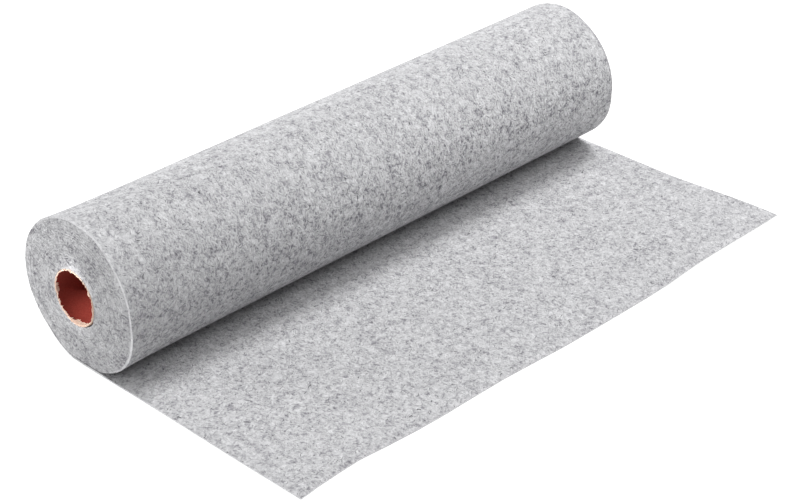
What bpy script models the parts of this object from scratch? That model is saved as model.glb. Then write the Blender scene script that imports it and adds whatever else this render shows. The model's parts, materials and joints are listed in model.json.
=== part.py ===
"""Roll of felt, partly unrolled, on a cardboard core.

Lengths are in metres and +Z is up. The roll's axis lies along Y and the loose end lies flat on the
ground along +X. Each piece is a closed solid: the felt (wound part and loose end in one) and the tube.
"""
import math

import bmesh
import bpy
from mathutils import Matrix, Vector

# The length of felt: its width, its thickness and the wound radius halfway along one turn.
FELT_WIDTH = 0.450
FELT_T = 0.0015
ROLL_R = 0.0515

# The roll's own weight flattens it, so its centre sits a little lower than its radius.
CENTRE_H = 0.0503

# Where the loose end parts from the roll, measured from the centre line.
NIP_X = 0.0108

# The cardboard core: outside radius, wall and length, and the gap that the felt leaves around it.
CORE_R = 0.0200
CORE_WALL = 0.0015
CORE_LEN = 0.450
CORE_GAP = 0.0003
CORE_SHIFT = -0.0010

# The turns next to the core stand out at the near end, and the tube a little more.
FELT_PROUD = 0.0024
CORE_PROUD = 0.0030

# Radius of the near rim around the centre, by angle in degrees: the end of the roll is a little
# spread and uneven, and it fades to the plain radius over a short length.
NEAR_RIM = (
    (-180, 0.0543), (-165, 0.0542), (-150, 0.0530), (-130, 0.0517), (-110, 0.0520), (-80, 0.0522),
    (-60, 0.0522), (-30, 0.0527), (0, 0.0526), (20, 0.0538), (40, 0.0545), (65, 0.0553), (90, 0.0531),
    (115, 0.0528), (140, 0.0531), (160, 0.0540), (180, 0.0543),
)
FLARE_LEN = 0.016

# The cut front edge of the loose end: distance from the centre line, by distance from the near edge.
FRONT_EDGE = (
    (0.000, 0.1960), (0.020, 0.1943), (0.046, 0.1930), (0.076, 0.1950), (0.106, 0.1970),
    (0.165, 0.1966), (0.198, 0.1981), (0.232, 0.1998), (0.282, 0.2002), (0.350, 0.2006), (0.450, 0.2004),
)
TAIL_NEAR = 0.0005
TAIL_FAR = 0.4522
CORNER_LIFT = 0.0042

# How finely the pieces are divided.
COLUMNS = 60
RINGS = 4
TAIL_STEPS = 15
CORE_SEGMENTS = 48
STATIONS = (0.0, 0.004, 0.010, 0.020, 0.036, 0.070, 0.120, 0.180, 0.240, 0.300, 0.350, 0.400, 0.450)


def table(pairs, at):
    """Value read from a table of (position, value) pairs, eased between neighbours."""
    if at <= pairs[0][0]:
        return pairs[0][1]
    for (a, low), (b, high) in zip(pairs, pairs[1:]):
        if at <= b:
            part = (at - a) / (b - a)
            return low + (high - low) * part * part * (3 - 2 * part)
    return pairs[-1][1]


def smooth(low, high, at):
    """0 below low, 1 above high, eased in between."""
    part = min(1.0, max(0.0, (at - low) / (high - low)))
    return part * part * (3 - 2 * part)


def column_angles():
    """Angles of the outline's corners, from the loose end's root round the back, over the top and down."""
    first = math.radians(-80)
    sweep = math.radians(357)
    return [first - sweep * k / (COLUMNS - 1) for k in range(COLUMNS)]


def outline_point(k, angle):
    """Corner k of the roll's outline: each turn gains one thickness, and the bottom lies on the ground."""
    radius = ROLL_R + FELT_T * (0.5 - k / (COLUMNS - 1))
    x = radius * math.cos(angle)
    z = CENTRE_H + radius * math.sin(angle)
    if k == 0:
        return Vector((NIP_X, 0, 0))
    if k == COLUMNS - 1:
        return Vector((NIP_X, 0, FELT_T))
    if math.cos(angle) > 0 and k > COLUMNS // 2:
        return Vector((x, 0, max(z, FELT_T)))
    return Vector((x, 0, max(z, 0.0)))


def bore_point(angle):
    """Point of the hole that holds the core."""
    radius = (CORE_R + CORE_GAP) / math.cos(math.pi / COLUMNS)
    return Vector((CORE_SHIFT + radius * math.cos(angle), 0, CENTRE_H + radius * math.sin(angle)))


def new_object(name, mesh_source, collection, colour, roughness):
    """Object with its own material, made from a bmesh."""
    mesh = bpy.data.meshes.new(name)
    mesh_source.to_mesh(mesh)
    mesh_source.free()
    obj = bpy.data.objects.new(name, mesh)
    collection.objects.link(obj)
    material = bpy.data.materials.new(name + "_material")
    material.use_nodes = True
    shader = material.node_tree.nodes["Principled BSDF"]
    shader.inputs["Base Color"].default_value = (*colour, 1.0)
    shader.inputs["Roughness"].default_value = roughness
    mesh.materials.append(material)
    return obj


def build_felt(collection):
    """Wound felt and its loose end as one solid: a section drawn across, then carried along the width."""
    bm = bmesh.new()
    reach = bm.verts.layers.float.new("reach")
    run = bm.verts.layers.float.new("run")
    angles = column_angles()
    outer = [bm.verts.new(outline_point(k, a)) for k, a in enumerate(angles)]
    for vert in outer:
        vert[reach] = 1.0
    edges = [bm.edges.new((outer[k], outer[(k + 1) % COLUMNS])) for k in range(COLUMNS)]
    root = edges[-1]

    # Rings of cells from the outline in to the hole.
    starts = [vert.co.copy() for vert in outer]
    holes = [bore_point(a) for a in angles]
    order = {vert: k for k, vert in enumerate(outer)}
    loop = edges
    for ring in range(1, RINGS + 1):
        part = 1 - ring / RINGS
        made = bmesh.ops.extrude_edge_only(bm, edges=loop)["geom"]
        new_verts = [item for item in made if isinstance(item, bmesh.types.BMVert)]
        fresh = {}
        for vert in new_verts:
            parent = next(edge.other_vert(vert) for edge in vert.link_edges if edge.other_vert(vert) in order)
            k = order[parent]
            vert.co = holes[k].lerp(starts[k], part)
            vert[reach] = part
            fresh[vert] = k
        loop = [item for item in made if isinstance(item, bmesh.types.BMEdge)
                and all(vert in fresh for vert in item.verts)]
        order = fresh

    # The loose end, carried along X from its root.
    edge = root
    step = 1.0 / TAIL_STEPS
    for count in range(1, TAIL_STEPS + 1):
        made = bmesh.ops.extrude_edge_only(bm, edges=[edge])["geom"]
        edge = next(item for item in made if isinstance(item, bmesh.types.BMEdge)
                    and all(vert in made for vert in item.verts))
        for vert in edge.verts:
            vert.co.x = NIP_X + (FRONT_EDGE[0][1] - NIP_X) * step * count
            vert[run] = step * count

    # The section carried along the width, station by station.
    section = bm.faces[:] + bm.edges[:] + bm.verts[:]
    for here, there in zip(STATIONS, STATIONS[1:]):
        section = bmesh.ops.extrude_face_region(bm, geom=section)["geom"]
        moved = [item for item in section if isinstance(item, bmesh.types.BMVert)]
        bmesh.ops.translate(bm, verts=moved, vec=(0, there - here, 0))

    for vert in bm.verts:
        if vert[run] > 0:
            shape_tail(vert, vert[run])
        else:
            shape_roll(vert, vert[reach])
    bmesh.ops.recalc_face_normals(bm, faces=bm.faces[:])
    return new_object("felt", bm, collection, (0.56, 0.56, 0.58), 0.95)


def shape_roll(vert, part):
    """Spread the near rim and let the inner turns stand out towards the near end."""
    x = vert.co.x
    z = vert.co.z - CENTRE_H
    y = vert.co.y
    radius = math.hypot(x, z)
    low = vert.co.z < 0.0001
    if part > 0 and vert.co.z > 0.002:
        fade = math.exp(-y / FLARE_LEN)
        rim = table(NEAR_RIM, math.degrees(math.atan2(z, x)))
        gain = (rim - ROLL_R) * fade * part
        gain = gain * smooth(0.002, 0.020, vert.co.z)
        vert.co.x += gain * x / radius
        vert.co.z = max(0.0, vert.co.z + gain * z / radius)
    if low:
        vert.co.z = 0.0
    vert.co.y = y - FELT_PROUD * (1 - part)


def shape_tail(vert, run):
    """Wave the cut front edge, and lift the far corner a little off the ground."""
    y = vert.co.y
    front = table(FRONT_EDGE, y)
    vert.co.x = NIP_X + (front - NIP_X) * run
    lift = CORNER_LIFT * smooth(0.45, 0.95, run) * smooth(0.310, 0.370, y)
    vert.co.z += lift
    across = y / FELT_WIDTH
    blend = smooth(0.0, 0.25, run)
    near_y = TAIL_NEAR * blend
    far_y = FELT_WIDTH + (TAIL_FAR - FELT_WIDTH) * blend
    vert.co.y = near_y + (far_y - near_y) * across


def build_core(collection):
    """Cardboard tube: a circle carried along Y and given its wall by Solidify."""
    bm = bmesh.new()
    bmesh.ops.create_circle(bm, segments=CORE_SEGMENTS, radius=CORE_R, cap_ends=False)
    across = Matrix.Rotation(math.radians(90), 3, "X")
    bmesh.ops.rotate(bm, verts=bm.verts[:], cent=(0, 0, 0), matrix=across)
    bmesh.ops.translate(bm, verts=bm.verts[:], vec=(CORE_SHIFT, -CORE_PROUD, CENTRE_H))
    edges = bm.edges[:]
    for _ in range(3):
        made = bmesh.ops.extrude_edge_only(bm, edges=edges)["geom"]
        moved = [item for item in made if isinstance(item, bmesh.types.BMVert)]
        bmesh.ops.translate(bm, verts=moved, vec=(0, CORE_LEN / 3, 0))
        edges = [item for item in made if isinstance(item, bmesh.types.BMEdge)
                 and all(vert in moved for vert in item.verts)]
    bmesh.ops.recalc_face_normals(bm, faces=bm.faces[:])
    core = new_object("core_tube", bm, collection, (0.50, 0.38, 0.28), 0.9)
    outward = core.data.polygons[0].normal.dot(
        core.data.polygons[0].center - Vector((CORE_SHIFT, core.data.polygons[0].center.y, CENTRE_H)))
    wall = core.modifiers.new("wall", "SOLIDIFY")
    wall.thickness = CORE_WALL
    wall.offset = -1.0 if outward > 0 else 1.0
    wall.use_even_offset = True
    return core


def centre_on_base(objects):
    """Move the meshes so that the middle of the footprint, on the ground, is the origin."""
    points = [vert.co for obj in objects for vert in obj.data.vertices]
    mid_x = (min(p.x for p in points) + max(p.x for p in points)) / 2
    mid_y = (min(p.y for p in points) + max(p.y for p in points)) / 2
    shift = Vector((-mid_x, -mid_y, -min(p.z for p in points)))
    for obj in objects:
        for vert in obj.data.vertices:
            vert.co += shift
    print("centre line moved by", [round(v * 1000, 2) for v in shift], "mm")


for old in list(bpy.data.objects):
    bpy.data.objects.remove(old, do_unlink=True)

felt_roll = bpy.data.collections.new("felt_roll")
bpy.context.scene.collection.children.link(felt_roll)
centre_on_base([build_felt(felt_roll), build_core(felt_roll)])
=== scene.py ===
# %% [markdown]
# # A roll of needle felt on a cardboard tube
#
# Needle felt is a mat of short fibres, tangled by barbed needles instead of being woven. It is sold
# wound on a cardboard tube, and here about 0.19 m of it has been unrolled on a white table. The
# lesson makes it the way it is made: a flat length of felt is cut, given its thickness, and rolled
# up. Each length is in metres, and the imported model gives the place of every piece.

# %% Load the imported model
import json
import math

import bpy
import numpy as np
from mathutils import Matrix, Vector, noise

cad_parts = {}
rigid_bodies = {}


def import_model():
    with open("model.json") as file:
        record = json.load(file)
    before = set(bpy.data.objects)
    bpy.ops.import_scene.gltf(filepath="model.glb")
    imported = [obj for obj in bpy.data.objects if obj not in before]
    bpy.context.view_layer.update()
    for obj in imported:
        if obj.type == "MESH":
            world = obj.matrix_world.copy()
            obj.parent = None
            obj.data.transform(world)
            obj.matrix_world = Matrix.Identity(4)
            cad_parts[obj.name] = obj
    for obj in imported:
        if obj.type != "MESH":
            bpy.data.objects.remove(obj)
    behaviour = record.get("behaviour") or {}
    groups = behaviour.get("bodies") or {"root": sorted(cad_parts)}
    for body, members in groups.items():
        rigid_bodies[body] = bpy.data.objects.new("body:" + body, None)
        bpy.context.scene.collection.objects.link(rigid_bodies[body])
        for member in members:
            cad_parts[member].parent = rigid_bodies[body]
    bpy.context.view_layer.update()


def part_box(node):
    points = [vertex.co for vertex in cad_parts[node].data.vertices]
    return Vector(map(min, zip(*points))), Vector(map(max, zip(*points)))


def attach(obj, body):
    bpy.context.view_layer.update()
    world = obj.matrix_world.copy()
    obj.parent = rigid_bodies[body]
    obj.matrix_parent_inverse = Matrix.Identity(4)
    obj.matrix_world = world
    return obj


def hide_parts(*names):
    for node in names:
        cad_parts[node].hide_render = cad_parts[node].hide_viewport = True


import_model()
core_low, core_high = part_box("core_tube")
felt_low, felt_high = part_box("felt")
MM = 0.001
print("felt", [round(v / MM, 1) for v in felt_high - felt_low], "mm")

# %% [markdown]
# The tube tells where the roll's axis is. The roll's near end is the plane y = 0 of the drawing, and
# the tube stands 3 mm out of it. Every other place is given from that corner: x from the centre
# line towards the cut edge, y along the axis and z up from the table.

# %% Find the roll's axis
CORE_R = (core_high.z - core_low.z) / 2
CENTRE_H = (core_high.z + core_low.z) / 2
CORE_SHIFT = -1.0 * MM
CORE_PROUD = 3.0 * MM
AXIS_X = (core_high.x + core_low.x) / 2 - CORE_SHIFT
NEAR_Y = core_low.y + CORE_PROUD


def placed(x, y, z):
    """Point of the drawing, in the model's own frame."""
    return Vector((AXIS_X + x, NEAR_Y + y, z))


print("axis at", round(AXIS_X / MM, 2), "mm, height", round(CENTRE_H / MM, 2), "mm")

# %% [markdown]
# ## Camera, table and light
#
# A long lens looks down on the roll from its near right. The table is a sheet of white acrylic, lit
# from below so that shadows hardly show on it, and white paper hangs all round. Two panels, beyond the
# roll and at its right, light the felt from above, and the white walls fill the shade evenly. Two low
# panels at the left light the near end, and a narrow beam shines into the tube.

# %% Set up the camera
CAMERA_YAW = 44.45
CAMERA_DOWN = 30.51
camera_data = bpy.data.cameras.new("camera")
camera_data.sensor_width = 36
camera_data.lens = 91.98
camera = bpy.data.objects.new("camera", camera_data)
bpy.context.scene.collection.objects.link(camera)
camera.location = placed(0.8833, -0.6200, 0.7077)
camera.rotation_euler = (math.radians(90 - CAMERA_DOWN), 0, math.radians(CAMERA_YAW))
bpy.context.scene.camera = camera


# %% Small helpers
def deselect_all():
    """Nothing selected, so that an operator acts only on what is chosen next."""
    for obj in bpy.context.view_layer.objects:
        obj.select_set(False)


def choose(obj):
    """Make one object the selected and active one."""
    deselect_all()
    obj.select_set(True)
    bpy.context.view_layer.objects.active = obj


def srgb(code):
    """Colour from a hex code, turned to linear values."""
    parts = [int(code[k:k + 2], 16) / 255 for k in (1, 3, 5)]
    return (*[p / 12.92 if p <= 0.04045 else ((p + 0.055) / 1.055) ** 2.4 for p in parts], 1.0)


def add_node(tree, kind, inputs=None, **settings):
    """Add a node. inputs gives each socket a value, or another node's output to link from."""
    node = tree.nodes.new(kind)
    for key, value in settings.items():
        setattr(node, key, value)
    for key, value in (inputs or {}).items():
        if isinstance(value, bpy.types.NodeSocket):
            tree.links.new(value, node.inputs[key])
        else:
            node.inputs[key].default_value = value
    return node


def new_material(name):
    """Empty material, with its tree."""
    material = bpy.data.materials.new(name)
    material.use_nodes = True
    material.node_tree.nodes.clear()
    return material, material.node_tree


# %% Lay the light table
TABLE_SIDE = 12
TABLE_GAP = 0.2 * MM
GLOW_NEAR = 0.91
GLOW_FAR = 1.0
bpy.ops.mesh.primitive_plane_add(size=TABLE_SIDE, location=(0, 0, -TABLE_GAP))
table = bpy.context.object
table.name = "light_table"
choose(table)
bpy.ops.object.transform_apply(location=True, rotation=True, scale=True)

# Opal acrylic spreads the light of the lamps below it. It glows a little less near the roll, where
# the lamps above add to it, so that it looks evenly white.
opal_acrylic, tree = new_material("opal_acrylic_lit_from_below")
coords = add_node(tree, "ShaderNodeTexCoord")
distance = add_node(tree, "ShaderNodeVectorMath", {0: coords.outputs["Object"]}, operation="LENGTH")
glow = add_node(tree, "ShaderNodeMapRange", {
    "Value": distance.outputs["Value"], "From Min": 0.6, "From Max": 2.6,
    "To Min": GLOW_NEAR, "To Max": GLOW_FAR})
shader = add_node(tree, "ShaderNodeBsdfPrincipled", {
    "Base Color": srgb("#959595"), "Roughness": 0.9, "Specular IOR Level": 0.2,
    "Emission Color": srgb("#FFFFFF"), "Emission Strength": glow.outputs["Result"]})
add_node(tree, "ShaderNodeOutputMaterial", {"Surface": shader.outputs["BSDF"]})
table.data.materials.append(opal_acrylic)

# %% Hang the backdrop
# The backdrop is only there to be seen: it neither lights the roll nor shades it.
BACKDROP_R = 8.0
bpy.ops.mesh.primitive_uv_sphere_add(segments=64, ring_count=32, radius=BACKDROP_R, location=(0, 0, 0))
backdrop = bpy.context.object
backdrop.name = "white_backdrop"
backdrop.visible_diffuse = False
backdrop.visible_glossy = False
backdrop.visible_shadow = False

white_paper, tree = new_material("white_paper_backdrop")
shader = add_node(tree, "ShaderNodeEmission", {"Color": srgb("#FFFFFF"), "Strength": 1.0})
add_node(tree, "ShaderNodeOutputMaterial", {"Surface": shader.outputs["Emission"]})
backdrop.data.materials.append(white_paper)

# %% Light it softly
LAMPS = {
    # name: direction it stands in and its height, both in degrees, its distance, power and size
    "high_panel_beyond": (94, 60, 3.0, 80, 1.05),
    "high_panel_right": (46, 53, 1.9, 15, 1.0),
    "low_panel_near_left": (225, 9, 2.4, 27.5, 0.7),
    "low_panel_left": (188, 9, 2.4, 11, 0.7),
}
LAMP_AIM = placed(0.05, 0.22, 0.03)
BEAM_POWER = 42
BEAM_AIM = placed(CORE_SHIFT, -1.0 * MM, CENTRE_H + 1.0 * MM)
WALL_LIGHT = 0.33


def stand_light(name, light, aim, azimuth, height, away):
    """Stand a light at a distance from what it is aimed at, with both angles in degrees."""
    turn = math.radians(azimuth)
    tilt = math.radians(height)
    direction = Vector((math.cos(turn) * math.cos(tilt), math.sin(turn) * math.cos(tilt), math.sin(tilt)))
    stand = bpy.data.objects.new(name, light)
    bpy.context.scene.collection.objects.link(stand)
    stand.location = aim + away * direction
    stand.rotation_euler = (-direction).to_track_quat("-Z", "Y").to_euler()


for name, (azimuth, height, away, power, size) in LAMPS.items():
    lamp = bpy.data.lights.new(name, "AREA")
    lamp.shape = "SQUARE"
    lamp.size = size
    lamp.energy = power
    stand_light(name, lamp, LAMP_AIM, azimuth, height, away)

beam = bpy.data.lights.new("beam_into_the_tube", "SPOT")
beam.energy = BEAM_POWER
beam.spot_size = math.radians(2.6)
beam.spot_blend = 0.7
beam.shadow_soft_size = 6 * MM
stand_light("beam_into_the_tube", beam, BEAM_AIM, azimuth=272, height=45, away=0.8)

# %% Paint the walls white
world = bpy.data.worlds.new("white_walls")
bpy.context.scene.world = world
world.use_nodes = True
world.node_tree.nodes["Background"].inputs["Color"].default_value = srgb("#FFFFFF")
world.node_tree.nodes["Background"].inputs["Strength"].default_value = WALL_LIGHT
bpy.context.scene.view_settings.view_transform = "Standard"
bpy.context.scene.view_settings.look = "None"
print("lit by", len(LAMPS), "panels, a beam and the walls")

# %% [markdown]
# ## The felt, cut flat
#
# The felt is one piece of cloth, so it is one mesh. It starts as a grid at the size of the cut, with
# its columns placed where the roll will need them: wide steps on the loose end and an even angle
# apart on the turns. The rows are close together near the two cut edges, because only the ends of
# the inner turns can be seen. Its UV map is the flat cut in metres, so a pattern drawn on it keeps
# its size and follows the cloth round the roll.

# %% Sizes of the cut
FELT_WIDTH = 0.450
FELT_T = 1.49 * MM
BOTTOM_R = 51.5 * MM
INNER_R = CORE_R + 0.35 * MM + FELT_T / 2
LAST_ANGLE = (19 + 300 / 360) * 2 * math.pi
GROWTH = (BOTTOM_R - INNER_R) / LAST_ANGLE
TURN_PITCH = GROWTH * 2 * math.pi
NIP_X = 10.8 * MM
NIP_ANGLE = -math.asin(NIP_X / BOTTOM_R)
FRONT_EDGE = (
    # distance from the near edge, distance of the cut from the centre line, in mm
    (0, 196.0), (20, 194.3), (46, 193.0), (76, 195.0), (106, 197.0), (165, 196.6),
    (198, 198.1), (232, 199.8), (282, 200.2), (350, 200.6), (450, 200.4),
)
FRONT_MAX = 200.6 * MM


def eased(pairs, at):
    """Read a table of places and values in mm, eased between neighbours. The result is in metres."""
    places = np.array([pair[0] for pair in pairs], dtype=float)
    values = np.array([pair[1] for pair in pairs]) * MM
    at = np.clip(at, places[0], places[-1])
    k = np.clip(np.searchsorted(places, at, side="right") - 1, 0, len(places) - 2)
    part = (at - places[k]) / (places[k + 1] - places[k])
    return values[k] + (values[k + 1] - values[k]) * part * part * (3 - 2 * part)


def ramp(low, high, at):
    """0 below low, 1 above high, eased in between."""
    part = np.clip((at - low) / (high - low), 0, 1)
    return part * part * (3 - 2 * part)


def length_to(angle):
    """Length of felt from the start of the roll to an angle, which grows towards the core."""
    return BOTTOM_R * (angle - NIP_ANGLE) - GROWTH / 2 * (angle ** 2 - NIP_ANGLE ** 2)


TAIL_LENGTH = FRONT_MAX - NIP_X
print("turns", round(LAST_ANGLE / (2 * math.pi), 2), "each", round(TURN_PITCH / MM, 3), "mm thick")

# %% Cut the felt
tail_steps = np.concatenate([[0, 0.006, 0.016, 0.03], np.linspace(0.05, 1, 44)])
fine_turns = np.arange(NIP_ANGLE + math.radians(4), 4 * math.pi, math.radians(4.5))
inner_turns = np.arange(fine_turns[-1] + math.radians(6), LAST_ANGLE, math.radians(6.2))
turn_steps = np.concatenate([fine_turns, inner_turns, [LAST_ANGLE]])
row_steps = np.array([
    0, 0.7, 1.8, 4, 8, 14, 22, 34, 50, 70, 95, 120, 146, 172, 198, 224, 250, 276, 302, 328, 352, 374,
    394, 412, 426, 436, 443, 447.2, 449.2, 450]) * MM
columns = len(tail_steps) + len(turn_steps)
rows = len(row_steps)
deselect_all()
bpy.ops.mesh.primitive_grid_add(x_subdivisions=columns - 1, y_subdivisions=rows - 1, size=1)
felt = bpy.context.object
felt.name = "felt_length"


def read_points(mesh):
    """Vertices of a mesh as rows of x, y, z."""
    points = np.empty(len(mesh.vertices) * 3)
    mesh.vertices.foreach_get("co", points)
    return points.reshape(-1, 3)


def write_points(mesh, points):
    """Give a mesh new places for its vertices."""
    mesh.vertices.foreach_set("co", np.ascontiguousarray(points, dtype=np.float32).ravel())
    mesh.update()


points = read_points(felt.data)
column = np.rint((points[:, 0] + 0.5) * (columns - 1)).astype(int)
across = row_steps[np.rint((points[:, 1] + 0.5) * (rows - 1)).astype(int)]
start = FRONT_MAX - eased(FRONT_EDGE, across / MM)
on_tail = column < len(tail_steps)
tail_part = tail_steps[np.minimum(column, len(tail_steps) - 1)]
turn_angle = turn_steps[np.maximum(column - len(tail_steps), 0)]
along = np.where(on_tail, start + (TAIL_LENGTH - start) * tail_part, TAIL_LENGTH + length_to(turn_angle))
write_points(felt.data, np.stack([along, across, np.zeros_like(along)], 1))
print("cut into", columns, "columns and", rows, "rows")

# %% Give it thickness and soft cut edges
choose(felt)
wall = felt.modifiers.new("thickness", "SOLIDIFY")
wall.thickness = FELT_T
wall.offset = 0
wall.material_offset_rim = 1
edge = felt.modifiers.new("soft_edge", "BEVEL")
edge.width = 0.08 * MM
edge.segments = 2
edge.limit_method = "ANGLE"
edge.angle_limit = math.radians(60)
for name in ("felt_face", "felt_cut_edge"):
    felt.data.materials.append(bpy.data.materials.new(name))
for name in ("thickness", "soft_edge"):
    bpy.ops.object.modifier_apply(modifier=name)

flat = read_points(felt.data)
chart = felt.data.uv_layers[0]
chart.name = "flat_cut"
corner = np.empty(len(felt.data.loops), dtype=np.int32)
felt.data.loops.foreach_get("vertex_index", corner)
chart.data.foreach_set("uv", flat[corner][:, :2].astype(np.float32).ravel())
print("flat felt has", len(felt.data.polygons), "faces")

# %% [markdown]
# ## Rolling it up
#
# A roll is a spiral: each turn lies one thickness further in. The roll's own weight presses its
# underside flat, the turns spread a little at the near end, and the inner turns stand out towards
# it like the steps of a very low cone. The outermost turn has crept sideways, so that its edge
# shows as a thin lip at the near end and leaves the next turns bare at the far end. Twenty tight
# turns are too many for a cloth simulation, so a formula gives each point of the cut its place.

# %% Shape of the rolled felt
FLOOR_R = BOTTOM_R + TURN_PITCH / 2  # from the axis to the outside of the outermost turn
BORE_R = CORE_R + 0.3 * MM  # from the axis to the inside of the innermost turn
PARED = 0.4  # how much thinner the felt is where it starts on the tube
CLIMB_FROM = 0.88  # part of a lap round the tube from which a turn climbs over that start
CLIMB_TO = 0.095  # and the part of the next lap by which it is down again
CLOSE_TURNS = 14  # turns next to the tube that lie close round one another
DRIFT = 0.20 * MM  # how far a turn creeps sideways
CONE = 0.9 * MM  # how far the innermost turn stands out of the near end
STEP = 1.5 * MM  # and how much more the turns next to the tube do
ROUNDING = 0.7 * MM  # how far the outer turns are drawn in at the near end
FAR_OUT = 1.7 * MM  # how much longer the roll is at its far end
LIP_NEAR = 1.5 * MM  # how far the lip of the outermost turn stands out at the near end
LIP_FAR = 2.6 * MM  # and how much of the next turns it leaves bare at the far end
SPREAD_REACH = 16 * MM  # length over which the spread of the near end dies out
SWELL = 0.25 * MM  # unevenness of the roll's outside
NEAR_RIM = (
    # angle in degrees round the near rim, its radius in mm
    (-180, 54.3), (-165, 54.2), (-150, 53.0), (-130, 51.7), (-110, 52.0), (-80, 52.2), (-60, 52.2),
    (-30, 52.7), (0, 52.6), (20, 53.8), (40, 54.5), (65, 55.3), (90, 53.1), (115, 52.8),
    (140, 53.1), (160, 54.0), (180, 54.3),
)


def soft_noise(x, y, seed):
    """Smooth noise from -1 to 1 at each place."""
    return np.array([noise.noise((a, b, seed)) for a, b in zip(x, y)])


def drawn_in(across):
    """How much the mouth of the tube, and the felt on it, are drawn in near the torn rim."""
    return 1.1 * MM * np.exp(-np.maximum(across + CORE_PROUD, 0) / (6 * MM))


def rolled(along, across, offset):
    """Place on the roll of each point of the flat felt. offset is positive towards the core."""
    distance = np.maximum(along - TAIL_LENGTH, 0)
    reach = BOTTOM_R * NIP_ANGLE - GROWTH / 2 * NIP_ANGLE ** 2 + distance
    angle = (BOTTOM_R - np.sqrt(np.maximum(BOTTOM_R ** 2 - 2 * GROWTH * reach, 0))) / GROWTH

    # The first stretch of felt, next to the tube, is pared thin so that the turn over it climbs less.
    turns_left = (LAST_ANGLE - angle) / (2 * math.pi)
    lap = np.mod(turns_left, 1)
    climb = ramp(CLIMB_FROM, 1.0, lap)
    above = np.where(turns_left > 0.5, np.maximum(climb, 1 - ramp(0, CLIMB_TO, lap)), 0)
    close = lap - climb + PARED * above
    pared = PARED * (1 - ramp(0, CLIMB_TO, turns_left))
    part = np.clip(turns_left / CLOSE_TURNS, 0, 1)
    loft = 1 - pared + close * 6 * part * (1 - part) / CLOSE_TURNS
    radius = BOTTOM_R - GROWTH * angle - offset * loft
    depth = np.clip((radius - BORE_R) / (FLOOR_R - BORE_R), 0, 1.02)

    # Turns creep sideways: a low step round the tube, a slow drift, and the outermost turn's lip.
    side = across / FELT_WIDTH
    drift = DRIFT * soft_noise(angle / 2.4, angle * 0, 7.7) * ramp(0, 2 * math.pi, angle)
    cone = -CONE * (1 - depth) - STEP * (1 - ramp(23.0 * MM, 41.0 * MM, radius))
    rounding = ROUNDING * ramp(43.0 * MM, 51.5 * MM, radius) * ramp(-0.2, 0.5, angle)
    lip_starts = ramp(math.radians(170), math.radians(225), angle)
    lip_ends = ramp(math.radians(262), math.radians(300), angle)
    lip = lip_starts * (1 - lip_ends)
    near_y = cone + rounding - LIP_NEAR * lip
    far_y = cone + FAR_OUT - LIP_FAR * lip
    y = across + drift + near_y * (1 - side) + far_y * side

    # Next to the tube each turn lies close round the one inside it, and climbs over its starting edge.
    radius = radius - TURN_PITCH * close * (1 - ramp(0, CLOSE_TURNS, turns_left)) - pared * FELT_T / 2

    # The near end spreads, unevenly round the rim.
    turn = np.mod(angle, 2 * math.pi)
    seen = -90 - np.degrees(turn)
    seen = np.where(seen < -180, seen + 360, seen)
    plain = FLOOR_R - TURN_PITCH * turn / (2 * math.pi)
    off_floor = ramp(0.04, 0.35, 1 - np.cos(turn))
    spread = (eased(NEAR_RIM, seen) - plain) * np.exp(-across / SPREAD_REACH) * off_floor
    swell = SWELL * soft_noise(np.cos(turn) * 1.3 + 5, across / 0.07 + np.sin(turn) * 1.3, 3.1)
    radius = radius + depth * (spread + swell * off_floor)
    radius = radius - (1 - depth) ** 2 * (drawn_in(y) + 0.2 * MM * np.exp(-across / (6 * MM)))

    # The table presses the underside flat, most of all the outermost turn.
    x = -radius * np.sin(angle)
    z = CENTRE_H - radius * np.cos(angle)
    press = FLOOR_R * np.cos(angle) - CENTRE_H
    press = 0.5 * (press + np.sqrt(press ** 2 + (0.1 * MM) ** 2))
    z = z + depth * press
    x = x + CORE_SHIFT * (1 - depth)
    return x, y, z


# %% Shape of the loose end
THIN_EDGE = 0.35  # how much thinner the felt is right at its cut edges
WAVE = 0.35 * MM  # height of its low waves
CORNER_LIFT = 4.0 * MM  # how far its far corner stands off the table
NEAR_LIFT = 0.3 * MM  # and its near corner
SIDE_SHIFT = 0.5 * MM  # how far its sides stand from the roll's ends


def unrolled(along, across, offset):
    """Place of each point on the loose end, which lies on the table with a few low waves."""
    x = FRONT_MAX - along
    run = np.clip(1 - along / TAIL_LENGTH, 0, 1)
    from_front = along - FRONT_MAX + eased(FRONT_EDGE, across / MM)
    from_side = np.minimum(across, FELT_WIDTH - across)
    from_edge = np.minimum(from_front, from_side)
    thin = 1 - THIN_EDGE * (1 - ramp(0, 3.0 * MM, from_edge)) * ramp(0, 0.1, run)
    wave = 0.5 + 0.5 * soft_noise(x / 0.055, across / 0.075, 1.4)
    z = FELT_T / 2 * thin + offset * thin + WAVE * wave * ramp(0.10, 0.45, run)
    z = z + CORNER_LIFT * ramp(0.45, 0.95, run) * ramp(0.310, 0.370, across)
    z = z + NEAR_LIFT * ramp(0.70, 1.0, run) * (1 - ramp(0.030, 0.080, across))
    shift = SIDE_SHIFT * ramp(0, 0.25, run)
    far = FELT_WIDTH + FAR_OUT + shift
    return x, shift + (far - shift) * across / FELT_WIDTH, z


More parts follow.
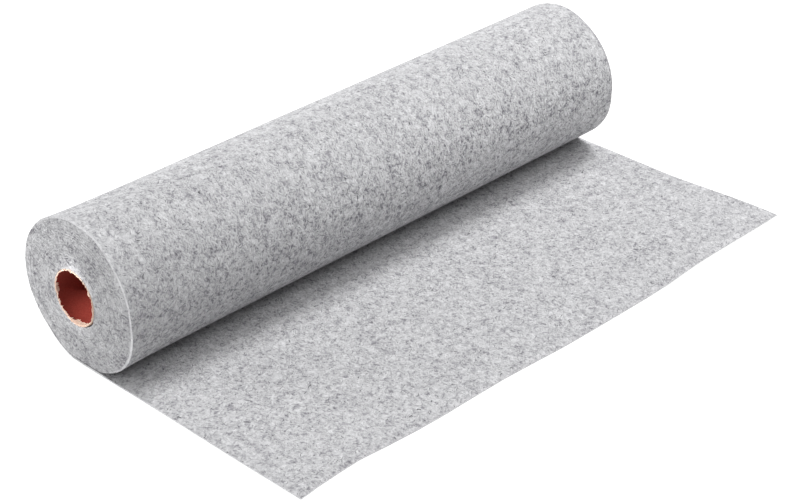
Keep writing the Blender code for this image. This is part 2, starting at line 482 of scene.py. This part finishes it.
# %% Roll up the felt
roll_x, roll_y, roll_z = rolled(flat[:, 0], flat[:, 1], flat[:, 2])
tail_x, tail_y, tail_z = unrolled(flat[:, 0], flat[:, 1], flat[:, 2])
loose = flat[:, 0] < TAIL_LENGTH + 0.01 * MM
shaped = np.stack([
    AXIS_X + np.where(loose, tail_x, roll_x),
    NEAR_Y + np.where(loose, tail_y, roll_y),
    np.maximum(np.where(loose, tail_z, roll_z), 0),
], 1)
write_points(felt.data, shaped)
choose(felt)
bpy.ops.object.mode_set(mode="EDIT")
bpy.ops.mesh.select_all(action="SELECT")
bpy.ops.mesh.normals_make_consistent(inside=False)
bpy.ops.object.mode_set(mode="OBJECT")
bpy.ops.object.shade_smooth_by_angle(angle=math.radians(50))
flat_edges = felt.modifiers.new("flat_edges", "WEIGHTED_NORMAL")
flat_edges.keep_sharp = True
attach(felt, "root")
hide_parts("felt")
print("rolled felt spans", [round(v / MM, 1) for v in np.ptp(shaped, 0)], "mm")

# %% [markdown]
# ## The felt's finish
#
# Heather grey felt is blended from white, grey and nearly black staple fibres before it is needled,
# so its colour is made of flecks a few millimetres long, drawn out in every direction, over faint
# clouds where the blend was uneven. Each direction of fibres is a noise squeezed across and
# stretched along, bent by a slower noise so that no fibre runs straight.

# %% Lay the fibres
TUFT_MM = (3.7, 1.35)  # length and width of a tuft
FIBRE_MM = (5.0, 0.38)  # length and width of a single fibre, which shows only close up
FIBRE_SHARE = 0.26  # how much single fibres count next to tufts
BEND_MM = 5.0  # length over which a fibre bends
BEND_REACH_MM = 4.5  # how far it is pushed aside by that


def fibre_field(tree, vector, turn, size):
    """Noise stretched along one direction: each ridge of it reads as a tuft of fibres."""
    length, width = size
    laid = add_node(tree, "ShaderNodeMapping", {
        "Vector": vector, "Rotation": (0, 0, math.radians(turn)),
        "Location": (turn * 3.1, turn * 1.7, turn)})
    squeezed = add_node(tree, "ShaderNodeVectorMath", {
        0: laid.outputs["Vector"], 1: (1 / length, 1 / width, 1 / width)}, operation="MULTIPLY")
    return add_node(tree, "ShaderNodeTexNoise", {
        "Vector": squeezed.outputs["Vector"], "Scale": 1.0, "Detail": 2.0, "Roughness": 0.55})


def bent_place(tree, in_mm):
    """Place in mm, pushed about by a slow noise, so that what is drawn on it bends."""
    bend = add_node(tree, "ShaderNodeTexNoise", {"Vector": in_mm, "Scale": 1 / BEND_MM, "Detail": 1.0})
    swerve = add_node(tree, "ShaderNodeVectorMath", {
        0: bend.outputs["Color"], 1: (0.5, 0.5, 0.5)}, operation="SUBTRACT")
    bent = add_node(tree, "ShaderNodeVectorMath", {
        0: swerve.outputs["Vector"], 1: (BEND_REACH_MM,) * 3, 2: in_mm}, operation="MULTIPLY_ADD")
    return bent.outputs["Vector"]


def laid_fibres(tree, bent):
    """Sum of all directions of tufts and of single fibres, which is 0 on average."""
    total = 0.0
    tufts = [(turn, TUFT_MM, 1.0) for turn in (8, 52, 97, 141)]
    fibres = [(turn, FIBRE_MM, FIBRE_SHARE) for turn in (20, 74, 131, 166)]
    for turn, size, share in tufts + fibres:
        field = fibre_field(tree, bent, turn, size)
        centred = add_node(tree, "ShaderNodeMath", {0: field.outputs["Fac"], 1: 0.5}, operation="SUBTRACT")
        total = add_node(tree, "ShaderNodeMath", {
            0: centred.outputs["Value"], 1: share, 2: total}, operation="MULTIPLY_ADD").outputs["Value"]
    return total


# %% Blend the shades
CLUMP_MM = 6.0
CLOUD_MM = 22.0
CLUMP_SHARE = 0.88
CLOUD_SHARE = 0.32
FRONT_MIDDLE = TAIL_LENGTH + 270 * MM  # place along the cut that ends up at the front of the roll
# Painted relief shade: extra fleck contrast on the front of the outermost turn.
FRONT_RELIEF_SHADE_GAIN = 0.35
FELT_GREY = "#B6B6B8"
DARK_FIBRE = "#6D6B72"
PALE_FIBRE = "#D3D3D5"
MIDDLE_TONE = 0.02  # the tone that is plain grey
HAIR_MM = (11.0, 0.8)
HAIR_DARK = "#3C3D40"


def around(tree, value, middle, inner, outer):
    """1 up to a distance of inner from middle, 0 from outer on, even in between."""
    off = add_node(tree, "ShaderNodeMath", {0: value, 1: middle}, operation="SUBTRACT")
    gap = add_node(tree, "ShaderNodeMath", {0: off.outputs["Value"]}, operation="ABSOLUTE")
    share = add_node(tree, "ShaderNodeMapRange", {
        "Value": gap.outputs["Value"], "From Min": inner, "From Max": outer, "To Min": 1.0, "To Max": 0.0})
    return share.outputs["Result"]


def felt_tone(tree, in_mm, bent, flecks, flat_x):
    """How light or dark the fibres are, around 0."""
    # Clumps and clouds of one shade shift the flecks towards dark or light.
    clump = add_node(tree, "ShaderNodeTexNoise", {
        "Vector": bent, "Scale": 1 / CLUMP_MM, "Detail": 1.0, "Roughness": 0.5})
    cloud = add_node(tree, "ShaderNodeTexNoise", {
        "Vector": in_mm, "Scale": 1 / CLOUD_MM, "Detail": 1.0, "Roughness": 0.5})
    with_clumps = add_node(tree, "ShaderNodeMath", {
        0: clump.outputs["Fac"], 1: CLUMP_SHARE, 2: flecks}, operation="MULTIPLY_ADD")
    with_clouds = add_node(tree, "ShaderNodeMath", {
        0: cloud.outputs["Fac"], 1: CLOUD_SHARE, 2: with_clumps.outputs["Value"]}, operation="MULTIPLY_ADD")
    centred = add_node(tree, "ShaderNodeMath", {
        0: with_clouds.outputs["Value"], 1: (CLUMP_SHARE + CLOUD_SHARE) / 2}, operation="SUBTRACT")

    # Flecks get more contrast on the front of the outermost turn: painted relief shade, standing in for how
    # raking light shows up the fibres there.
    front = around(tree, flat_x, FRONT_MIDDLE, 30 * MM, 60 * MM)
    gain = add_node(tree, "ShaderNodeMath", {0: front, 1: FRONT_RELIEF_SHADE_GAIN, 2: 1.0}, operation="MULTIPLY_ADD")
    tone = add_node(tree, "ShaderNodeMath", {
        0: centred.outputs["Value"], 1: gain.outputs["Value"]}, operation="MULTIPLY")
    return tone.outputs["Value"]


def blended(tree, tone, reach, bent):
    """Grey felt, with the dark and pale fibres that its tone asks for and a few whole dark hairs."""
    mixed = srgb(FELT_GREY)
    for end, shade in ((-reach, DARK_FIBRE), (reach, PALE_FIBRE)):
        share = add_node(tree, "ShaderNodeMapRange", {
            "Value": tone, "From Min": MIDDLE_TONE, "From Max": end, "To Min": 0.0, "To Max": 1.0})
        mixed = add_node(tree, "ShaderNodeMix", {
            "Factor": share.outputs["Result"], 6: mixed, 7: srgb(shade)}, data_type="RGBA").outputs[2]
    for turn in (25, 118):
        hair = fibre_field(tree, bent, turn, HAIR_MM)
        shown = add_node(tree, "ShaderNodeMapRange", {
            "Value": hair.outputs["Fac"], "From Min": 0.66, "From Max": 0.71, "To Min": 0.0, "To Max": 0.9})
        mixed = add_node(tree, "ShaderNodeMix", {
            "Factor": shown.outputs["Result"], 6: mixed, 7: srgb(HAIR_DARK)}, data_type="RGBA").outputs[2]
    return mixed


# %% [markdown]
# The felt isn't the same grey all over. The front of the roll near its end, and the low front part of
# the end itself, are darker than the lamps alone make them, so painted shade darkens them there. The
# cut edge of the outermost turn gets a painted highlight, a pale line over the top and down the front,
# the cut edges of the loose end are painted paler, and a thin painted shadow line runs along the far edge.

# %% Paint shade and highlights on the felt
# Painted shade: a darker grey for the front of the roll near its end, the low front part of the end, and
# the far edge.
PAINTED_SHADE_GREY = "#727274"
PAINTED_SHADE_REACH = 220 * MM
PAINTED_SHADE_MIDDLE = TAIL_LENGTH + 245 * MM  # place along the cut, a little above the front of the roll
PAINTED_SHADE_TILT = math.radians(20)  # how far below the level the greyest part of the end is
# Painted highlight along the near cut edge of the outermost turn, over the top and down the front.
PAINTED_HIGHLIGHT_FROM = TAIL_LENGTH + 125 * MM
PAINTED_HIGHLIGHT_TO = TAIL_LENGTH + 280 * MM
PAINTED_HIGHLIGHT = "#E6E6E8"
PAINTED_HIGHLIGHT_SHARE = 0.5
# Painted shadow: a thin grey line along the far cut edge.
FAR_EDGE_SHADOW_SHARE = 0.6


def painted_shade_on_face(tree, flat_x, flat_y):
    """Where shade is painted on the felt's face: the front of the roll, towards its near end."""
    near_end = around(tree, flat_y, 0.0, 0.0, PAINTED_SHADE_REACH)
    front_band = around(tree, flat_x, PAINTED_SHADE_MIDDLE, 20 * MM, 50 * MM)
    painted_shade = add_node(tree, "ShaderNodeMath", {0: near_end, 1: front_band}, operation="MULTIPLY")
    return painted_shade.outputs["Value"]


def painted_shade_on_end(tree, place):
    """Where shade is painted on the cut edges: the low front part of the roll's end."""
    forward = Vector((math.cos(PAINTED_SHADE_TILT), 0, -math.sin(PAINTED_SHADE_TILT)))
    middle = forward.dot(placed(0, 0, CENTRE_H))
    how_far = add_node(tree, "ShaderNodeVectorMath", {0: place, 1: forward}, operation="DOT_PRODUCT")
    painted_shade = add_node(tree, "ShaderNodeMapRange", {
        "Value": how_far.outputs["Value"], "From Min": middle - 6 * MM, "From Max": middle + 22 * MM,
        "To Min": 0.0, "To Max": 1.0})
    return painted_shade.outputs["Result"]


def painted_light_share(tree, flat_x, flat_y, tail_painted_light):
    """How much painted light the cut edges get: a painted highlight along the outermost turn, and paler
    edges on the loose end.
    """
    # Painted highlight along the near cut edge of the outermost turn, faded in and out along it.
    fringe = around(tree, flat_y, 0.0, 0.0, 0.4 * MM)
    for bare, highlight_full in ((PAINTED_HIGHLIGHT_FROM, PAINTED_HIGHLIGHT_FROM + 30 * MM), (PAINTED_HIGHLIGHT_TO + 20 * MM, PAINTED_HIGHLIGHT_TO)):
        stretch = add_node(tree, "ShaderNodeMapRange", {
            "Value": flat_x, "From Min": bare, "From Max": highlight_full, "To Min": 0.0, "To Max": 1.0})
        fringe = add_node(tree, "ShaderNodeMath", {
            0: fringe, 1: stretch.outputs["Result"]}, operation="MULTIPLY").outputs["Value"]
    # The loose end's cut edges are painted paler: painted light on upright faces that the lamps leave dark.
    on_tail = around(tree, flat_x, 0.0, TAIL_LENGTH, TAIL_LENGTH + 20 * MM)
    tail_share = add_node(tree, "ShaderNodeMath", {0: on_tail, 1: tail_painted_light}, operation="MULTIPLY")
    share = add_node(tree, "ShaderNodeMath", {
        0: fringe, 1: PAINTED_HIGHLIGHT_SHARE, 2: tail_share.outputs["Value"]}, operation="MULTIPLY_ADD")
    return share.outputs["Value"]


# %% Mix the heather felt
FACE_REACH = 0.65  # tone of the darkest and palest fibres on the face
EDGE_REACH = 0.51  # and on the cut edges
RELIEF_MM = 0.44


def felt_finish(material, reach, painted_shade_share, tail_painted_light, on_face):
    """Needle felt: matt, with a faint bloom from the fibre ends that stand off it."""
    material.use_nodes = True
    tree = material.node_tree
    tree.nodes.clear()
    flat_place = add_node(tree, "ShaderNodeUVMap", uv_map="flat_cut")
    flat_parts = add_node(tree, "ShaderNodeSeparateXYZ", {"Vector": flat_place.outputs["UV"]})
    flat_x = flat_parts.outputs["X"]
    flat_y = flat_parts.outputs["Y"]

    # The face is drawn on the flat cut. The cut edges have no width there, so they use their own place.
    if on_face:
        place = flat_place.outputs["UV"]
        painted_shade = painted_shade_on_face(tree, flat_x, flat_y)
    else:
        place = add_node(tree, "ShaderNodeTexCoord").outputs["Object"]
        painted_shade = painted_shade_on_end(tree, place)
    scaled = add_node(tree, "ShaderNodeVectorMath", {0: place, "Scale": 1 / MM}, operation="SCALE")
    in_mm = scaled.outputs["Vector"]
    bent = bent_place(tree, in_mm)
    flecks = laid_fibres(tree, bent)
    mixed = blended(tree, felt_tone(tree, in_mm, bent, flecks, flat_x), reach, bent)

    # Painted shade on the front of the roll near its end and on the low front part of the end.
    shade_mix = add_node(tree, "ShaderNodeMath", {0: painted_shade, 1: painted_shade_share}, operation="MULTIPLY")
    # Painted shadow line along the far cut edge, in the painted shade grey.
    far_edge = around(tree, flat_y, FELT_WIDTH, 0.0, 1.0 * MM)
    far_edge_shadow = add_node(tree, "ShaderNodeMath", {0: far_edge, 1: FAR_EDGE_SHADOW_SHARE}, operation="MULTIPLY")
    for share, shade in (
            (shade_mix.outputs["Value"], PAINTED_SHADE_GREY),
            (painted_light_share(tree, flat_x, flat_y, tail_painted_light), PAINTED_HIGHLIGHT),
            (far_edge_shadow.outputs["Value"], PAINTED_SHADE_GREY)):
        mixed = add_node(tree, "ShaderNodeMix", {
            "Factor": share, 6: mixed, 7: srgb(shade)}, data_type="RGBA").outputs[2]

    bump = add_node(tree, "ShaderNodeBump", {"Height": flecks, "Strength": 1.0, "Distance": RELIEF_MM * MM})
    shader = add_node(tree, "ShaderNodeBsdfPrincipled", {
        "Base Color": mixed, "Roughness": 0.95, "Specular IOR Level": 0.15,
        "Sheen Weight": 0.12, "Sheen Roughness": 0.5, "Normal": bump.outputs["Normal"]})
    add_node(tree, "ShaderNodeOutputMaterial", {"Surface": shader.outputs["BSDF"]})


felt_face = felt.data.materials[0]
felt_cut_edge = felt.data.materials[1]
felt_finish(felt_face, FACE_REACH, painted_shade_share=0.30, tail_painted_light=0.0, on_face=True)
felt_finish(felt_cut_edge, EDGE_REACH, painted_shade_share=0.18, tail_painted_light=0.6, on_face=False)
print("felt face has", len(felt_face.node_tree.nodes), "nodes")

# %% [markdown]
# ## The tube
#
# The tube is wound from strips of brown paper round a dark red liner, and it has been torn rather
# than cut to length. The card ends in a soft ragged rim, and the liner has torn back further than
# the card, which leaves a pale band inside the rim. Both are open cylinders, cut into rings near
# their ends. They get their walls first, and only then are the ends pulled ragged, so that the two
# sides of a wall can end at different places.

# %% How the tube is torn
SIDES = 360
CORE_LENGTH = 450 * MM
CARD_WALL = 0.90 * MM
LINER_WALL = 0.25 * MM
FELT_FACE = -2.4 * MM  # y of the felt's near end, right next to the tube
TORN_REACH = 12 * MM  # how far in from its ends the tube is pulled about
CARD_STANDS = (
    # angle in degrees round the rim, how far the card stands out of the felt next to it, in mm
    (0, 1.0), (25, 0.6), (50, 0.35), (75, 0.5), (95, 0.6), (115, 0.4), (140, 0.2), (170, 0.25),
    (200, 0.15), (235, 0.4), (260, 0.6), (285, 0.7), (315, 1.1), (340, 1.2), (360, 1.0),
)
CARD_SLOPE = (
    # how much further back the inner plies of the card are torn than the outer ones
    (0, 0.9), (30, 0.3), (70, 0.3), (95, 0.6), (130, 0.2), (180, 0.5), (215, 0.2), (240, 0.5),
    (280, 1.5), (320, 1.4), (345, 1.1), (360, 0.9),
)
LINER_BARES = (
    # how much of the card the liner leaves bare behind that
    (0, 0.8), (30, 0.2), (75, 0.2), (100, 0.5), (120, 0.3), (150, 0.3), (167, 0.4), (176, 2.3), (187, 2.2),
    (194, 0.1), (206, 0.1), (218, 0.5), (234, 0.3), (241, 0.0), (246, 0.1), (253, 1.8), (268, 3.0),
    (286, 3.8), (305, 3.0), (328, 1.6), (345, 1.0), (360, 0.8),
)


def round_rim(pairs, angle):
    """Value of a table in mm at each angle round the rim, with the angle in radians."""
    return eased(pairs, np.mod(np.degrees(angle), 360))


def ragged(angle, coarse, fine, seed):
    """Uneven edge of torn paper: bays a few millimetres wide, with a fringe of small teeth."""
    round_x = np.cos(angle)
    round_z = np.sin(angle)
    bays = soft_noise(round_x * 7 + seed, round_z * 7, seed)
    teeth = soft_noise(round_x * 24 + seed, round_z * 24, seed + 9)
    return coarse * bays + fine * teeth


def card_outer(angle):
    """Outer plies of the card, as a distance in from the tube's full length."""
    stands_out = round_rim(CARD_STANDS, angle) - ragged(angle, 0.30 * MM, 0.40 * MM, 11.3)
    return CORE_PROUD + FELT_FACE - stands_out


def card_inner(angle):
    """Inner plies of the card, torn back along a slope."""
    return card_outer(angle) + round_rim(CARD_SLOPE, angle) + ragged(angle, 0.40 * MM, 0.90 * MM, 3.8)


def liner_edge(angle):
    """Edge of the liner, which tears in small saw teeth."""
    bare = round_rim(LINER_BARES, angle) + ragged(angle, 0.80 * MM, 1.7 * MM, 6.1)
    return card_inner(angle) + np.maximum(bare, 0.02 * MM)


# %% Tear the tube
RING_INSETS_MM = (0.6, 1.4, 2.4, 3.6, 5.2, 8.0, 13.0, 20.0, 60.0)


def torn_tube(name, radius, wall, outer_edge, inner_edge):
    """Open cylinder with a wall. The edges tell, by angle, how far in from y = 0 its two sides end."""
    deselect_all()
    middle = placed(CORE_SHIFT, CORE_LENGTH / 2 - CORE_PROUD, CENTRE_H)
    bpy.ops.mesh.primitive_cylinder_add(
        vertices=SIDES, radius=radius, depth=CORE_LENGTH, end_fill_type="NOTHING",
        rotation=(math.radians(90), 0, 0), location=middle)
    tube = bpy.context.object
    tube.name = name
    bpy.ops.object.transform_apply(location=True, rotation=True, scale=True)
    bpy.ops.object.mode_set(mode="EDIT")
    for inset in RING_INSETS_MM:
        for spot in (inset * MM - CORE_PROUD, CORE_LENGTH - CORE_PROUD - inset * MM):
            bpy.ops.mesh.select_all(action="SELECT")
            bpy.ops.mesh.bisect(plane_co=placed(0, spot, 0), plane_no=(0, 1, 0))
    bpy.ops.object.mode_set(mode="OBJECT")
    shell = tube.modifiers.new("wall", "SOLIDIFY")
    shell.thickness = wall
    shell.offset = -1
    choose(tube)
    bpy.ops.object.modifier_apply(modifier="wall")

    points = read_points(tube.data)
    x = points[:, 0] - AXIS_X - CORE_SHIFT
    z = points[:, 2] - CENTRE_H
    y = points[:, 1] - NEAR_Y
    angle = np.arctan2(z, x)
    reach = np.hypot(x, z)
    inner = reach < radius - wall / 2
    torn_back = np.where(inner, inner_edge(angle), outer_edge(angle))
    at_near = 1 - ramp(0, TORN_REACH, y + CORE_PROUD)
    at_far = 1 - ramp(0, TORN_REACH, CORE_LENGTH - CORE_PROUD - y)
    y = y + torn_back * at_near - 0.6 * torn_back * at_far
    slim = (reach - drawn_in(y)) / reach
    torn = np.stack([AXIS_X + CORE_SHIFT + x * slim, NEAR_Y + y, CENTRE_H + z * slim], 1)
    write_points(tube.data, torn)
    bpy.ops.object.shade_smooth_by_angle(angle=math.radians(40))
    print(name, "has", len(tube.data.polygons), "faces")
    return tube


card = torn_tube("core_card", CORE_R, CARD_WALL, card_outer, card_inner)
liner = torn_tube("core_liner", CORE_R - CARD_WALL - 0.03 * MM, LINER_WALL, liner_edge, liner_edge)

# %% [markdown]
# Torn board shows its pulp: pale, pinkish paper fibre with darker specks, quite matt. The liner is a
# smoother paper, dyed dark red. Both are the same pulp to the eye, a noise just under a millimetre
# across, in two shades that are further apart on the board than on the liner.

# %% Finish the card and the liner
PULP_MM = 5 / 6


def paper_finish(tree, dark, light):
    """Matt paper: pulp in two shades, with a little relief."""
    place = add_node(tree, "ShaderNodeTexCoord")
    in_mm = add_node(tree, "ShaderNodeVectorMath", {
        0: place.outputs["Object"], "Scale": 1 / MM}, operation="SCALE")
    pulp = add_node(tree, "ShaderNodeTexNoise", {
        "Vector": in_mm.outputs["Vector"], "Scale": 1 / PULP_MM, "Detail": 3.0, "Roughness": 0.6})
    tone = add_node(tree, "ShaderNodeMapRange", {
        "Value": pulp.outputs["Fac"], "From Min": 0.3, "From Max": 0.7, "To Min": 0.0, "To Max": 1.0})
    paper = add_node(tree, "ShaderNodeMix", {
        "Factor": tone.outputs["Result"], 6: srgb(dark), 7: srgb(light)}, data_type="RGBA")
    bump = add_node(tree, "ShaderNodeBump", {
        "Height": pulp.outputs["Fac"], "Strength": 0.5, "Distance": 0.3 * MM})
    shader = add_node(tree, "ShaderNodeBsdfPrincipled", {
        "Base Color": paper.outputs[2], "Roughness": 0.9, "Specular IOR Level": 0.2,
        "Normal": bump.outputs["Normal"]})
    add_node(tree, "ShaderNodeOutputMaterial", {"Surface": shader.outputs["BSDF"]})


torn_board, tree = new_material("torn_paper_board")
paper_finish(tree, "#D9AC96", "#F8E8D6")
red_paper, tree = new_material("matt_red_paper")
paper_finish(tree, "#7C2C24", "#8E3A30")
card.data.materials.append(torn_board)
liner.data.materials.append(red_paper)
choose(liner)
card.select_set(True)
bpy.context.view_layer.objects.active = card
bpy.ops.object.join()
card.name = "torn_core_tube"
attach(card, "root")
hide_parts("core_tube")
